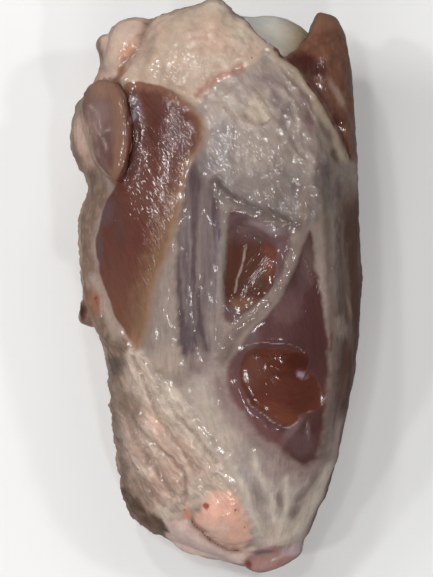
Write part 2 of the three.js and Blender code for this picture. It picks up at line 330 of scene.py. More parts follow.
class Places:
    """The points of a mesh as seen from above, with ways to measure them."""

    def __init__(self, mesh):
        self.mesh = mesh
        self.wander = 0.0
        self.read()
        self.wander = WANDER * self.grain(WANDER_SIZE)[:, None]
        self.read()

    def read(self):
        count = len(self.mesh.vertices)
        flat = np.empty(count * 3)
        self.mesh.vertices.foreach_get("co", flat)
        self.at = flat.reshape(-1, 3) / MM
        self.mesh.vertex_normals.foreach_get("vector", flat)
        self.normal = flat.reshape(-1, 3).copy()
        self.plan = self.at[:, :2] + self.wander

    def raise_by(self, height):
        self.at = self.at + self.normal * height[:, None]
        self.at[:, 2] = np.maximum(self.at[:, 2], 0)
        self.mesh.vertices.foreach_set("co", (self.at * MM).ravel())
        self.mesh.update()
        self.read()

    def depth(self, outline):
        curve = smooth_curve(outline, True)
        return np.where(is_inside(curve, self.plan), 1, -1) * distance_to(curve, self.plan)

    def from_route(self, route):
        return distance_to(smooth_curve(route, False), self.plan)

    def from_spot(self, spot):
        x, y, radius_x, radius_y, turn = spot
        c, s = math.cos(math.radians(turn)), math.sin(math.radians(turn))
        dx, dy = (self.plan - (x, y)).T
        return np.hypot((c * dx + s * dy) / radius_x, (c * dy - s * dx) / radius_y)

    def grain(self, size, stretch=(1, 1, 1), octaves=3):
        """Cloud-like noise from about -1 to 1, the same in every run."""
        scaled = self.at / (size * np.array(stretch))
        return np.array([noise.fractal(Vector(p), 1.0, 2.0, octaves) for p in scaled.tolist()])


skin = Places(flesh.data)
print("box of the skin:", skin.at.min(0).round(1), skin.at.max(0).round(1))

# %% [markdown]
# ## Where the tissues lie
# These outlines and routes were read off the meat, in millimetres from the middle. The
# knee is at the far end (+Y) and the hock at the near end. Long names keep the tables readable.

# %% Outlines of the muscles
CUT_MUSCLE = [
    (-33, 75), (-21, 74), (-11.7, 68.6), (-5.5, 62), (-5, 53), (-10.5, 43), (-13.5, 28), (-18, 12.4),
    (-22.8, -1.3), (-25.3, -15.4), (-28.7, -22), (-35.7, -12.4), (-41.6, 2.4), (-44.2, 16), (-41, 30),
    (-35.7, 40), (-32.4, 51), (-32.7, 66),
]
FLAP = [
    (-46, 78.5), (-37, 75), (-33.2, 66), (-32.6, 47.5), (-36.8, 38.5), (-41, 42), (-44.5, 50), (-47, 60),
    (-50, 67), (-51, 74),
]
KNEE_MUSCLE = [
    (33, 107), (47, 104), (53, 97), (57, 84), (58, 69), (56, 51), (49, 48), (42.4, 61.4), (35, 73),
    (27.6, 82), (20.5, 87), (26, 89), (31, 93),
]
UPPER_WINDOW = [
    (4.3, 20), (8, 21.5), (14.6, 21.5), (19.4, 17.8), (21.6, 13), (21.8, 6.5), (20, 0.4), (15.2, -4.8),
    (9.6, -7.8), (3.7, -4.8), (3.2, 1), (4, 9),
]
LOWER_WINDOW = [
    (10.4, -23.4), (14.2, -21.5), (22.8, -21.3), (28, -22.3), (33.4, -23.6), (33.6, -28), (31.3, -33.6),
    (34.4, -30.6), (38.2, -35.2), (38.8, -39), (38, -42.7), (35.4, -45.2), (30.4, -45.9), (29.2, -48.6),
    (26.5, -50), (22.8, -49.4), (19, -47), (14.7, -43.8), (11.5, -39.5), (8.8, -33.6), (8.6, -28),
]
PLUM_MUSCLE = [
    (33.6, 21), (36, 8), (38.6, -6), (40.4, -18), (41, -31.5), (40.4, -42), (39, -53), (37.6, -61),
    (32.9, -65.2), (28, -63), (22.8, -58.8), (16.8, -54.5), (10.9, -47.6), (4.6, -39), (3.6, -31),
    (5.8, -25), (12, -16), (22, -5), (28.7, 8.7),
]
VEIL = [
    (4.4, 27), (9, 28.2), (16.5, 25), (22, 22.5), (28, 20), (27, 12), (24, 4), (19, -2.5), (12, -8.5),
    (6, -13), (2.4, -9), (3, 5),
]
RIGHT_FLANK = [
    (50, 47), (48, 34), (46.5, 10), (46, -8), (47.5, -18), (45.5, -28), (45.5, -44), (62, -50), (62, 47)
]
print("deepest place in the cut muscle:", skin.depth(CUT_MUSCLE).max().round(1), "mm from its edge")

# %% Outlines of fat, film and skin
KNEE_FAT = [
    (-27, 99), (-18, 104), (0, 108), (9, 102), (12, 95), (18, 89), (13, 82), (5, 77.5), (-1, 73.5),
    (-5, 69), (-8, 66.5), (-18, 73), (-33, 75.5), (-30, 86),
]
SIDE_LOBE = [(-43, 76), (-43, 90), (-38, 99), (-31, 102), (-24, 100), (-26.5, 93), (-30, 86), (-36, 75)]
KNEE_FASCIA = [
    (-5, 69), (5, 77.5), (12, 82), (20, 88), (27, 82.5), (35, 73.5), (42, 62), (48, 49), (50, 38), (42, 30),
    (33, 21.5), (24, 23.5), (9, 28.5), (2, 31), (-1, 36), (-8, 44), (-9, 54),
]
SILVERSKIN = [
    (-9, 46), (-4, 39), (0, 34), (2, 20), (1, 5), (0, -8), (-2, -22), (-7, -31), (-12.5, -24), (-14.4, -5),
    (-14.4, 12), (-13, 28),
]
WHITE_STRIP = [
    (-14, 22), (-14.5, 5), (-14, -15), (-12, -32), (-19, -34), (-27, -22), (-24, -5), (-18.5, 10)
]
LOWER_FAT = [
    (-30, -18), (-19, -30), (-11, -41), (-4, -52), (3.5, -64), (9.4, -76), (14, -90), (-5.5, -80),
    (-12, -84), (-19, -87), (-30, -96), (-48, -80), (-50, -20), (-38, -15),
]
HOCK_SHEATH = [
    (-12, -40), (-2, -24), (4, -30), (7, -41), (14.6, -51), (24, -60), (32, -65.5), (38, -58), (48, -50),
    (46, -75), (38, -97), (16, -98), (13, -88), (9, -76), (3.5, -64), (-4, -52),
]
PINK_LUMP = [
    (-6, -81), (-1, -75), (5.7, -75), (9.8, -81.2), (12.6, -90), (11, -95), (7, -96.8), (2, -95), (-4, -91),
    (-8, -86.5),
]
SKIN_EDGE = [
    (-18.7, -86.4), (-19, -96), (-10, -103), (2, -106), (11, -107), (14, -97), (8.7, -97.2), (0.3, -94.9),
    (-3.9, -91.5), (-9.2, -86.8),
]
RIND = [(-38, -74), (-36, -86), (-27, -95), (-20, -97), (-18.7, -87.9), (-24.6, -82), (-30, -77)]
TENDON_END = [(10, -104), (14, -98.5), (22, -96), (34, -95.5), (34, -101), (25, -108), (15, -109)]
BACK_FAT = [
    (-49, 74), (-48, 65), (-45.5, 54), (-41.6, 42), (-39.5, 34), (-43.8, 25), (-45.6, 16), (-44, 7.6),
    (-41, -3), (-36.8, -13), (-32, -21), (-40, -25), (-56, -16), (-58, 30), (-58, 74),
]
print("deepest place in the lower fat:", skin.depth(LOWER_FAT).max().round(1), "mm from its edge")

# %% Routes of tendons, seams and edges
SLANTING_TENDON = [
    (33, 33), (31, 27), (30, 20), (28.5, 13), (25.6, 5.4), (21.3, -1.3), (14.6, -8), (8.5, -13.5),
    (4.6, -19), (1.5, -26),
]
INNER_TENDON = [(3.4, 28), (2.7, 19.8), (2, 11.7), (1.6, 3), (0.8, -3.5), (0.6, -12), (0, -22)]
OUTER_TENDON = [(38.6, 36), (40, 20), (40.8, 3), (41.8, -8), (42.7, -30), (41.6, -46.8), (38.6, -62)]
FASCIA_EDGE = [(-0.7, 38.5), (2.4, 35), (8.5, 31.2), (16.3, 27.4), (21.3, 25.2), (29, 22.6)]
KNEE_RIM = [(20, 87.5), (25, 82), (31.5, 75.5), (38.5, 65), (43.5, 56.5), (47, 48)]
FLAP_CRACK = [(-37, 75.3), (-33.2, 66), (-32.8, 55), (-32.5, 47), (-36.6, 38.6)]
KNEE_SLIT = [(23.5, 85), (27.8, 82), (35.2, 73), (42.6, 61.6), (46.6, 54.5), (49.2, 48.5)]
LOBE_CREASE = [(-24.6, 98.6), (-26.5, 93.4), (-29, 87.5), (-33.9, 81.6), (-36, 76)]
LUMP_SLIT = [(-9.6, -85.8), (-3.9, -91.7), (0.3, -95), (4.5, -97.1), (8.7, -97.2)]
FAT_SEAM = [(-7, 69.5), (-6.3, 70.7), (0.4, 76.2), (9.3, 80.3)]
WHITE_VEIN = [(10.9, 15.6), (10.3, 13), (9.9, 10), (8.6, 6.2), (7.4, 3.4), (7.3, 1), (6.4, -1.9)]
SECOND_VEIN = [(13.5, 5.4), (11.3, 2), (10.2, -1.9)]
MUSCLE_TOP = CUT_MUSCLE[:3]
MUSCLE_RIM = CUT_MUSCLE[2:11]
BACK_FAT_EDGE = [(-38, 35), (-42.6, 27), (-44.4, 16), (-42.6, 5), (-39.5, -5), (-36, -13), (-31, -21)]
print("points near the slanting tendon:", (skin.from_route(SLANTING_TENDON) < 2).sum())

# %% Routes of folds, ridges and threads
FAT_FOLDS = [
    [(-38.3, -32), (-34.2, -45), (-28.3, -56), (-24, -62.7)],
    [(-35.7, -38.5), (-30.8, -48), (-25, -55), (-19, -60), (-12, -67.2), (-11.3, -72.6), (-11.3, -78)],
    [(-30.5, -24.6), (-26, -35.7), (-21, -46.8), (-15, -56), (-6, -67.2)],
    [(-36.4, -56), (-31.3, -65.3), (-24.6, -74.6), (-19, -80)],
    [(-33.5, -48.7), (-26, -61.6), (-19, -71), (-15.5, -77.5)],
    [(-21, -36), (-14, -46), (-6, -56), (0, -64)],
    [(-34, -66), (-29, -74), (-25, -80)],
]
FASCIA_WRINKLES = [
    [(23, 79), (29, 73), (34, 66), (38, 58)],
    [(25, 72), (29, 66), (31, 59)],
    [(13, 72), (17, 65), (20, 61)],
    [(10, 62), (14, 59), (19, 60)],
    [(3, 66), (6, 58), (6, 50)],
    [(36, 58), (37, 50), (35, 42)],
    [(26, 54), (31, 47), (38, 45)],
    [(12, 50), (18, 44), (24, 42)],
]
SHEATH_RIDGES = [
    [(13.5, -60), (15.5, -68), (19, -76), (22, -84), (24, -92)],
    [(46, -59), (40.4, -70), (36.2, -80.5), (32, -88.4), (26.8, -92)],
    [(4, -62), (9, -71), (13, -81), (17, -92)],
    [(26, -70), (26.5, -78), (25, -88)],
]
SILVER_STRIPS = [
    [(-10.2, 26), (-10.5, 9.8), (-10.2, -4.3), (-9, -20)],
    [(-6.5, 34), (-5.6, 20), (-6.2, 6)],
    [(-2.6, 2), (-3, -8), (-3.4, -18)],
]
PLUM_THREADS = [
    [(31.3, 11), (34.5, 6), (37.4, 2), (39.6, -3.5)],
    [(36.2, 2.5), (36.6, -1), (36.8, -3.5)],
    [(33, -47), (33.2, -52), (33.4, -56)],
]
FLAP_WEB = [
    [(-44.8, 60), (-43, 57), (-41, 54.2), (-40.1, 50.6)],
    [(-46, 67), (-43.5, 63), (-42, 58.5)],
    [(-43, 57), (-39, 57.5)],
]
FLAP_FILM = [(-48.4, 69), (-47.2, 64), (-45.4, 58), (-43.6, 52.5), (-42.2, 48), (-39.6, 42.5)]
FILM_FOLDS = [
    [(10.3, -20.7), (14.5, -19.6), (19.1, -19.4), (27.9, -20.7), (32.2, -23.4)],
    [(6, 29.2), (13, 26.6), (19.1, 24), (27, 23)],
]
WINDOW_LIP = [(11.2, -39.8), (14.5, -44.2), (19, -47.6), (22.8, -50), (26.6, -50.6), (29.6, -48.8)]
WINDOW_LEDGE = [(20, -28.5), (25, -30.4), (29, -30.6), (33, -29.6)]
print("folds in the fat:", len(FAT_FOLDS), "wrinkles in the fascia:", len(FASCIA_WRINKLES))

# %% [markdown]
# ## Grain
# Fibres run their own way in each tissue: slanting in the cut muscle, straight in the
# silverskin, and gathered towards the hock in the sheath of the tendons. Two coordinates, across
# and along the fibres, let noise be stretched that way later. They jump where two tissues meet,
# so a fade takes the fibres out along those borders.

# %% Grain of the tissues
x, y = skin.plan.T
across, along = x.copy(), y.copy()
fade = np.ones(len(x))


def lay_grain(outline, new_across, new_along):
    inside = skin.depth(outline)
    across[inside > 0] = new_across[inside > 0]
    along[inside > 0] = new_along[inside > 0]
    fade[inside > 0] = 1
    np.minimum(fade, step(np.abs(inside), 0.5, 2.2), out=fade)


lay_grain(LOWER_FAT, 0.75 * x + 0.66 * y, 0.66 * x - 0.75 * y)
lay_grain(HOCK_SHEATH, 45 * np.arctan2(x - 20, y + 118), np.hypot(x - 20, y + 118))
lay_grain(KNEE_FASCIA, 0.8 * x + 0.6 * y, (0.6 * x - 0.8 * y) * 1.3)
lay_grain(CUT_MUSCLE, x + 0.4 * y + 0.0029 * y * y, y)
lay_grain(UPPER_WINDOW, 0.8 * x - 0.6 * y, 0.6 * x + 0.8 * y)
lay_grain(PLUM_MUSCLE, 0.95 * x + 0.3 * y, y)
lay_grain(LOWER_WINDOW, np.hypot(x - 32, y + 24), 16 * np.arctan2(y + 24, x - 32))
lay_grain(KNEE_FAT, 0.7 * x + 0.7 * y, (0.7 * x - 0.7 * y) * 1.5)


def fibrous(size_across, size_along):
    """Noise stretched along the fibres, from about -1 to 1, faded out at their borders."""
    places = np.column_stack([across / size_across, along / size_along, skin.at[:, 2] / (4 * size_across)])
    return fade * np.array([noise.fractal(Vector(p), 1.0, 2.0, 2) for p in places.tolist()])


print("share of the skin where fibres fade:", (fade < 0.5).mean().round(3))

# %% [markdown]
# ## Relief of the shown side
# Tendons stand up as rounded straps. Folds and cracks are narrow grooves, some with a swollen
# side. The windows are already sunk in the solid, so here their floors bulge a little, and the
# lower one gets a thin lip of torn silverskin. Moving the mesh along its normals gives real
# shape that also shows from the side, which bump in a material can't.

# %% Relief
def shifted(route, right, up):
    return [(x + right, y + up) for x, y in route]


def strap(route, half_width, height):
    """A ridge with a flat top along a route."""
    return height * step(-skin.from_route(route), -half_width, -0.2 * half_width)


def swelling(route, half_width, height):
    """A rounded ridge along a route, or a groove if the height is below zero."""
    return height * bell(skin.from_route(route) / half_width)


def window(outline, bulge, lip):
    inside = skin.depth(outline)
    return lip * bell(inside + 0.9) + bulge * step(inside, -0.3, 1.6)


STRAPS = [
    (SLANTING_TENDON, 3.6, 0.7), (INNER_TENDON, 2.0, 0.45), (OUTER_TENDON, 3.4, 0.5),
    (FASCIA_EDGE, 2.0, 0.5), (KNEE_RIM, 3.0, 0.9), (WHITE_VEIN, 0.8, 0.2),
]
STRAPS += [(ridge, 1.7, 0.5) for ridge in SHEATH_RIDGES] + [(strip, 1.8, 0.12) for strip in SILVER_STRIPS]
SWELLINGS = [
    (WINDOW_LEDGE, 1.6, -0.8), (KNEE_SLIT, 1.2, -1.2), (LOBE_CREASE, 1.6, -1.3), (FAT_SEAM, 1.5, -0.8),
    (BACK_FAT_EDGE, 1.4, -0.8), (shifted(FLAP_CRACK, 2.0, -0.4), 3.2, 2.2),
]
for fold in FAT_FOLDS:
    SWELLINGS.append((fold, 1.2, -1.3))
    STRAPS.append((shifted(fold, 2.2, 1.6), 2.4, 0.5))
for wrinkle in FASCIA_WRINKLES:
    STRAPS.append((wrinkle, 1.5, 0.35))
    SWELLINGS.append((shifted(wrinkle, 1.4, 0.9), 0.9, -0.35))

facing_up = skin.normal[:, 2].copy()
relief = window(UPPER_WINDOW, 0.7, 0.0) + window(LOWER_WINDOW, 0.1, 0.08)
relief += sum(strap(*values) for values in STRAPS) + sum(swelling(*values) for values in SWELLINGS)
skin.raise_by(relief * step(facing_up, 0.0, 0.4))
print("relief from", relief.min().round(2), "to", relief.max().round(2), "mm")

# %% [markdown]
# ## Unevenness
# No tissue is smooth. The fat at the knee is lumpy, the lower fat and the fascia are wrinkled
# along their fibres, and muscle is only faintly stringy. Each gets its own share of noise. The
# sides carry long bellies of muscle, and the flat underside stays flat.

# %% Unevenness
def membership(outlines, soft):
    return np.maximum.reduce([step(skin.depth(outline), -soft, soft) for outline in outlines])


on_cap = membership([KNEE_FAT], 3)
on_fat = membership([LOWER_FAT], 2)
on_fascia = membership([KNEE_FASCIA], 2)
on_sheath = membership([HOCK_SHEATH, WHITE_STRIP], 2)
on_muscle = membership([CUT_MUSCLE, UPPER_WINDOW, LOWER_WINDOW, PLUM_MUSCLE, KNEE_MUSCLE], 1)
lumps = skin.grain(8.0)
ripples = skin.grain(2.8)
unevenness = (0.45 + 0.5 * on_cap + 0.2 * on_fascia) * (1 - 0.7 * on_muscle) * lumps
unevenness += 0.55 * on_cap * ripples
unevenness += (0.6 * on_fat + 0.3 * on_sheath) * fibrous(4.2, 22.0)
unevenness += (0.5 * on_fat + 0.1 * on_sheath) * fibrous(2.0, 7.0) + 0.4 * on_fat * ripples
unevenness += on_fascia * (0.6 * fibrous(3.2, 14.0) + 0.35 * fibrous(2.0, 6.0))
unevenness += 0.12 * on_muscle * fibrous(1.9, 18.0)
side = 1 - step(facing_up, 0.05, 0.45)
bellies = skin.grain(16.0, (1.0, 3.0, 0.8))
unevenness += side * (0.5 * skin.grain(7.0, octaves=5) + 0.9 * bellies)
unevenness += 0.6 * side * step(-skin.at[:, 0], 10, 30) * ripples
unevenness *= step(skin.at[:, 2], 0.5, 6)
skin.raise_by(unevenness)
print("unevenness from", unevenness.min().round(2), "to", unevenness.max().round(2), "mm")

# %% [markdown]
# ## Painting the tissues
# A butcher's eye sees three layers. The outer film is fat, fascia, silverskin and tendon. In
# some places it is so thin that the muscle shows plum through it. In others it is cut away, and
# bare muscle lies open. Each layer gets its own colour at every point, and two edge values say
# where the film thins and where the muscle is bare. The shader then cuts those edges sharply.

# %% Painting tools
GLOSS_DEPTH = np.array([1.0, 0.97, 0.95])  # the wet gloss adds white, so the colours are laid deeper
AREA_WANDER = 0.8
BAND_WANDER = 0.5
SPOT_WANDER = 0.2

count = len(skin.at)
east, north, height = skin.at.T  # to the right, towards the knee, and up from the table
drift = skin.grain(2.6)
blotch = step(skin.grain(11.0), -0.3, 0.4)
fleck = step(skin.grain(4.5), -0.2, 0.4)


def srgb(red, green, blue):
    """The linear colour for shades from 0 to 255."""
    channels = np.array([red, green, blue]) / 255
    linear = np.where(channels <= 0.04045, channels / 12.92, ((channels + 0.055) / 1.055) ** 2.4)
    return linear * GLOSS_DEPTH


def paint(layer, weight, colour):
    """Mix a colour into a layer, with a weight from 0 to 1 at each point."""
    layer += np.clip(weight, 0, 1)[:, None] * (srgb(*colour) - layer)


def area(outline, soft=1.5):
    return step(skin.depth(outline) + drift * AREA_WANDER * soft, -soft, soft)


def band(route, half_width, soft):
    uneven = skin.from_route(route) + drift * BAND_WANDER * soft
    return 1 - step(uneven, half_width - soft, half_width + soft)


def spot(x, y, radius_x, radius_y, turn=0):
    uneven = skin.from_spot((x, y, radius_x, radius_y, turn)) + drift * SPOT_WANDER
    return 1 - step(uneven, 0.35, 1.25)


def patches_on(layer, within, patches):
    """Paint soft ovals: place, radii, turn in degrees, strength and colour of each."""
    for *oval, strength, colour in patches:
        paint(layer, within * spot(*oval) * strength, colour)


def tell(name, weight):
    print(name, "on", (weight > 0.5).mean().round(3), "of the skin")


print("a muscle red of 100, 60, 50 is painted as", srgb(100, 60, 50).round(3))

# %% [markdown]
# ## The outer film
# Each tissue gets a ground colour, then soft ovals where the real one is paler, pinker or
# browner, and a few darker ones of painted shade. Noise alone would be quicker, but noise
# can't know where the meat is thick. The fat at the lower left is cream, with painted shade in
# its folds and along its left edge, and the sheath beside it greyer with pale ridges.

# %% Fat of the lower half
film = np.tile(srgb(150, 134, 125), (count, 1))
fat = area(LOWER_FAT, 2)
paint(film, fat, (200, 182, 167))
paint(film, fat * blotch * 0.4, (203, 174, 157))
paint(film, fat * fleck * 0.35, (176, 158, 144))
# Of these ovals, the grey-brown ones at (-31.5, -43) and (-35, -70) are painted shade, in a hollow of the
# fat and on its left edge.
patches_on(film, fat, [
    (-23, -49, 3, 8, 25, 0.7, (206, 172, 154)),
    (-13, -61, 6, 8, 45, 0.5, (206, 174, 157)),
    (-19, -71, 9, 8, 45, 0.7, (186, 152, 137)),
    (-27, -75, 6, 7, 20, 0.8, (154, 131, 117)),
    (-25, -63, 3, 5, 30, 0.6, (152, 127, 114)),
    (-30, -60, 3, 6, 20, 0.7, (178, 149, 134)),
    (-31.5, -43, 4.5, 9, 25, 0.9, (134, 114, 100)),
    (-22, -38, 4, 7, 30, 0.6, (176, 160, 147)),
    (-35, -70, 4, 12, 10, 0.9, (124, 104, 92)),
    (-14, -40, 6, 11, 40, 0.9, (212, 200, 184)),
    (-3, -57, 4.5, 12, 40, 0.9, (210, 197, 181)),
])
# Painted shade: the fat is laid darker along its left edge, where it turns away from the light.
paint(film, fat * step(-east, 31, 38) * 0.8, (112, 95, 84))
# Painted shade in the dark top left corner of the fat; the oval below it is rind.
patches_on(film, 1.0, [
    (-38, -26, 4.5, 8, 20, 1.0, (98, 84, 75)),
    (-30, -82, 8, 6, -40, 0.8, (122, 98, 82)),
])
tell("lower fat", fat)

# %% Sheath of the hock tendons
sheath = area(HOCK_SHEATH, 3)
paint(film, sheath, (182, 168, 159))
paint(film, sheath * fleck * 0.35, (150, 134, 128))
patches_on(film, sheath, [
    (-3, -44, 6, 10, 30, 0.8, (186, 172, 161)),
    (0, -52, 4, 10, 40, 0.7, (192, 178, 165)),
    (20, -66, 12, 5, -30, 0.7, (148, 131, 126)),
    (38, -66, 4, 8, -20, 0.8, (126, 110, 101)),
])
for ridge in SHEATH_RIDGES:
    paint(film, band(ridge, 1.4, 1.2) * 0.85, (204, 192, 179))
patches_on(film, 1.0, [
    (10.3, -67.5, 1.8, 4.2, 25, 0.9, (170, 160, 163)),
    (15.6, -75, 3.2, 6, 25, 0.8, (136, 122, 119)),
    (23.3, -77.5, 1.8, 4.4, 10, 0.8, (116, 99, 94)),
    (31.4, -76, 2.0, 4.6, -30, 0.8, (114, 97, 92)),
    (28.6, -82.5, 2.2, 4.4, -20, 0.8, (122, 104, 100)),
    (36.5, -70, 2.0, 5, -30, 0.7, (118, 102, 94)),
    (22, -91, 9, 4.5, 0, 0.8, (206, 190, 175)),
])
plum_border = bell((skin.depth(PLUM_MUSCLE) + 2.4) / 3.2) * step(-north, 24, 36)
paint(film, plum_border * 0.9, (142, 119, 115))
paint(film, band([(42, -67), (38, -75), (33.5, -84), (28, -90)], 2.4, 1.8), (196, 182, 169))
tell("sheath", sheath)

# %% [markdown]
# ## The film towards the knee
# The fascia below the knee is thin and wet, so the muscle under it turns it grey and plum. The
# silverskin between the two muscles is darker still, and its tendons are pale. The knee itself
# has thick fat, cream and pink like the lobe and the lump at the ends of the knuckle.

# %% Fascia below the knee
fascia = area(KNEE_FASCIA, 2)
paint(film, fascia, (168, 153, 143))
paint(film, fascia * step(-north, -62, -30), (132, 120, 116))
paint(film, fascia * step(east, 26, 46) * 0.7, (122, 106, 97))
paint(film, fascia * fleck * 0.4, (146, 134, 130))
patches_on(film, fascia, [
    (2, 53, 5, 11, 0, 0.8, (142, 134, 134)),
    (-3, 45, 4, 7, 20, 0.8, (126, 116, 117)),
    (15, 65, 5, 6, 0, 0.9, (182, 167, 148)),
    (3, 66, 6, 6, 0, 0.6, (178, 164, 152)),
    (16, 49, 6, 6, 0, 0.7, (164, 152, 139)),
    (28.5, 48, 6, 5, 0, 0.7, (150, 138, 127)),
    (19, 75.5, 5, 2.8, -20, 1.0, (140, 123, 121)),
    (21.5, 68.5, 2.2, 5, 25, 0.8, (136, 120, 120)),
    (25, 62.5, 2.6, 6, -10, 0.9, (126, 109, 110)),
    (31.5, 68.5, 2, 4, 20, 0.9, (136, 116, 114)),
    (34, 61, 2.4, 5, 25, 1.0, (128, 101, 100)),
    (40, 57, 2, 4, 30, 1.0, (114, 95, 89)),
    (43.5, 49, 2.2, 4, 0, 1.0, (96, 78, 68)),
    (38.5, 41, 4, 6, 0, 0.9, (104, 89, 88)),
    (30, 36, 4, 5, 0, 0.6, (122, 106, 101)),
    (48.5, 44, 1.8, 6, 0, 0.9, (136, 121, 111)),
    (44.8, 35, 1.2, 6, 5, 0.8, (92, 78, 76)),
])
paint(film, band(KNEE_RIM, 2.0, 1.2), (162, 145, 128))
tell("fascia", fascia)

# %% Silverskin and tendons
white_strip = area(WHITE_STRIP, 2.5)
paint(film, white_strip, (143, 129, 121))
paint(film, spot(-18, -26, 7, 6), (166, 150, 137))
veil = area(VEIL, 1.0)
paint(film, veil, (99, 74, 73))
paint(film, veil * fleck * 0.4, (118, 100, 102))
paint(film, veil * spot(18, 22, 8, 2.4, -20) * 0.8, (140, 124, 128))
silver = area(SILVERSKIN, 1.2)
paint(film, silver, (88, 72, 75))
for strip in SILVER_STRIPS:
    paint(film, band(strip, 1.2, 1.8) * 0.6, (113, 100, 102))
paint(film, band([(0.2, 24), (0.2, 10), (-0.6, -4)], 0.8, 1.0) * 0.8, (96, 84, 103))
paint(film, spot(-6, -27, 6, 6) * 0.8, (142, 126, 121))
paint(film, spot(0, -18, 3.5, 14) * 0.9, (150, 136, 129))
paint(film, band(SLANTING_TENDON, 2.0, 1.2), (131, 115, 107))
paint(film, band(INNER_TENDON, 1.1, 0.6), (138, 126, 120))
paint(film, band(OUTER_TENDON, 1.4, 1.8) * 0.9, (112, 97, 88))
paint(film, band(FASCIA_EDGE, 1.8, 1.6) * 0.9, (100, 85, 81))
stringy = np.maximum.reduce([sheath, silver, white_strip]) * (1 - veil)
paint(film, stringy * step(fibrous(1.6, 26.0), -0.3, 0.4) * 0.2, (186, 172, 163))
tell("silverskin", silver)

# %% Right flank
flank = step(east + 1.5 * drift, 41.5, 46)
flank *= step(north, -54, -42) * step(-north, -42, -26)
paint(film, flank * 0.9, (86, 61, 52))
paint(film, flank * area(RIGHT_FLANK, 3.5) * 0.8, (79, 53, 43))
paint(film, flank * step(fibrous(2.6, 34.0), -0.1, 0.6) * 0.6, (124, 108, 99))
tell("flank", flank)

# %% Fat at the knee
cap = area(KNEE_FAT, 1.5)
paint(film, cap, (196, 175, 157))
paint(film, cap * blotch * 0.4, (194, 164, 146))
patches_on(film, cap, [
    (0, 91, 10, 8, 0, 0.7, (208, 176, 157)),
    # Painted shade: the cap is greyer on its left flank beside the crease.
    (-24.5, 87, 2.6, 8, -15, 0.8, (164, 143, 128)),
    (-14, 76, 10, 4, -15, 0.5, (172, 148, 132)),
    (0, 104, 10, 4, 0, 0.8, (208, 193, 176)),
    (9, 94, 7, 7, -40, 0.8, (204, 188, 168)),
])
paint(film, band(FAT_SEAM, 1.0, 1.2) * 0.9, (172, 124, 110))
lobe = area(SIDE_LOBE, 1.0)
paint(film, lobe, (200, 177, 161))
paint(film, lobe * fleck * 0.3, (190, 158, 141))
patches_on(film, 1.0, [
    (-32.4, 86.5, 2.4, 7, -32, 0.9, (196, 148, 127)),
    (-34.5, 79.5, 1.5, 4, -35, 0.8, (172, 122, 100)),
    (-43.5, 85, 2.4, 7, 0, 0.9, (122, 96, 80)),
])
# A brown-red crease, darkened in its upper part by painted shadow where the cap overhangs the lobe.
paint(film, band(LOBE_CREASE, 0.8, 1.6) * 0.9, (130, 92, 74))
tell("knee fat", cap)

# %% Fat of the left rim and the pink lump
rim_fat = area(BACK_FAT, 1.0)
paint(film, rim_fat, (130, 107, 93))
paint(film, rim_fat * fleck * 0.6, (112, 90, 78))
paint(film, rim_fat * step(drift, 0.1, 0.5) * 0.6, (156, 133, 119))
paint(film, rim_fat * spot(-47.5, 50, 3, 8, 15) * 0.8, (172, 145, 131))
paint(film, rim_fat * spot(-46, 40, 2.4, 4) * 0.8, (104, 85, 75))
# Painted shade: the rim fat is laid darker towards its outer left edge, where it turns away from the light.
shaded_outer_rim = step(-east + 2 * drift, 48.5, 53) * bell((north - 46) / 9)
paint(film, rim_fat * shaded_outer_rim * 0.8, (96, 77, 66))
paint(film, band([(-45, 4), (-41, -8), (-36.5, -17)], 2.0, 1.5), (160, 142, 131))
patches_on(film, 1.0, [
    (-46, -6, 4, 6, 0, 1.0, (144, 103, 82)),
    (-50, -8.5, 2.2, 4, 0, 1.0, (74, 40, 36)),
])
lump = area(PINK_LUMP, 1.6)
paint(film, lump, (230, 184, 165))
patches_on(film, lump, [
    (4, -82, 5, 5, 0, 0.8, (228, 178, 158)),
    (8, -89, 3, 5, -15, 0.6, (226, 174, 153)),
    (0, -90, 6, 3, 35, 0.6, (222, 196, 180)),
])
paint(film, spot(-10.8, -84, 1.6, 4), (206, 148, 126))
# Painted shade: a dark band in the slit beside the knee muscle.
paint(film, band(KNEE_SLIT, 0.8, 1.2) * 0.8, (96, 68, 54))
tell("fat of the rim", rim_fat)
tell("pink lump", lump)

# %% [markdown]
# ## Sides, underside and the scraps at the hock
# The outlines are drawn from above, so on steep sides their colours would run down in stripes.
# There the film gets tissues of its own: muscle bellies under film on the right, fat on the
# left, and pale sinews along both. The scraps of skin, rind and tendon at the hock are thin
# pieces, so they are painted last and only at the height where they lie.

# %% Sides and underside of the film
def above(low):
    """Only at heights over low, with a soft start of 4 mm."""
    return step(height, low, low + 4)


sinews = skin.grain(6.0, (1.0, 5.0, 0.8), 4)
right_side = step(east + 6 * blotch, -4, 18)
hock_end = step(-skin.normal[:, 1], 0.3, 0.8) * step(-north, 70, 95)
fat_side = np.maximum(1 - right_side, hock_end)
muscle_side = side * right_side * (1 - 0.7 * flank * above(24))
paint(film, muscle_side, (118, 96, 88))
paint(film, muscle_side * step(bellies, -0.6, 0.5), (98, 68, 60))
paint(film, side * fat_side * 0.8, (180, 159, 145))
paint(film, side * fat_side * step(bellies, -0.4, 0.6) * 0.7, (168, 134, 119))
paint(film, side * fat_side * fleck * 0.3, (146, 122, 108))
paint(film, side * step(sinews, 0.1, 0.9) * (1 - flank) * 0.6, (168, 150, 138))
underneath = step(-skin.normal[:, 2], 0.4, 0.8)
paint(film, underneath * 0.8, (150, 126, 115))
paint(film, underneath * step(bellies, -0.4, 0.4) * 0.8, (112, 80, 72))
patches_on(film, above(30), [
    (-50, 57, 3.6, 9, 8, 0.9, (192, 166, 151)),
    (-50.5, 68, 2.4, 4, 0, 0.8, (150, 137, 119)),
])
paint(film, band(FLAP_CRACK, 2.0, 1.2) * above(40), (122, 85, 68))
tell("sides", side)

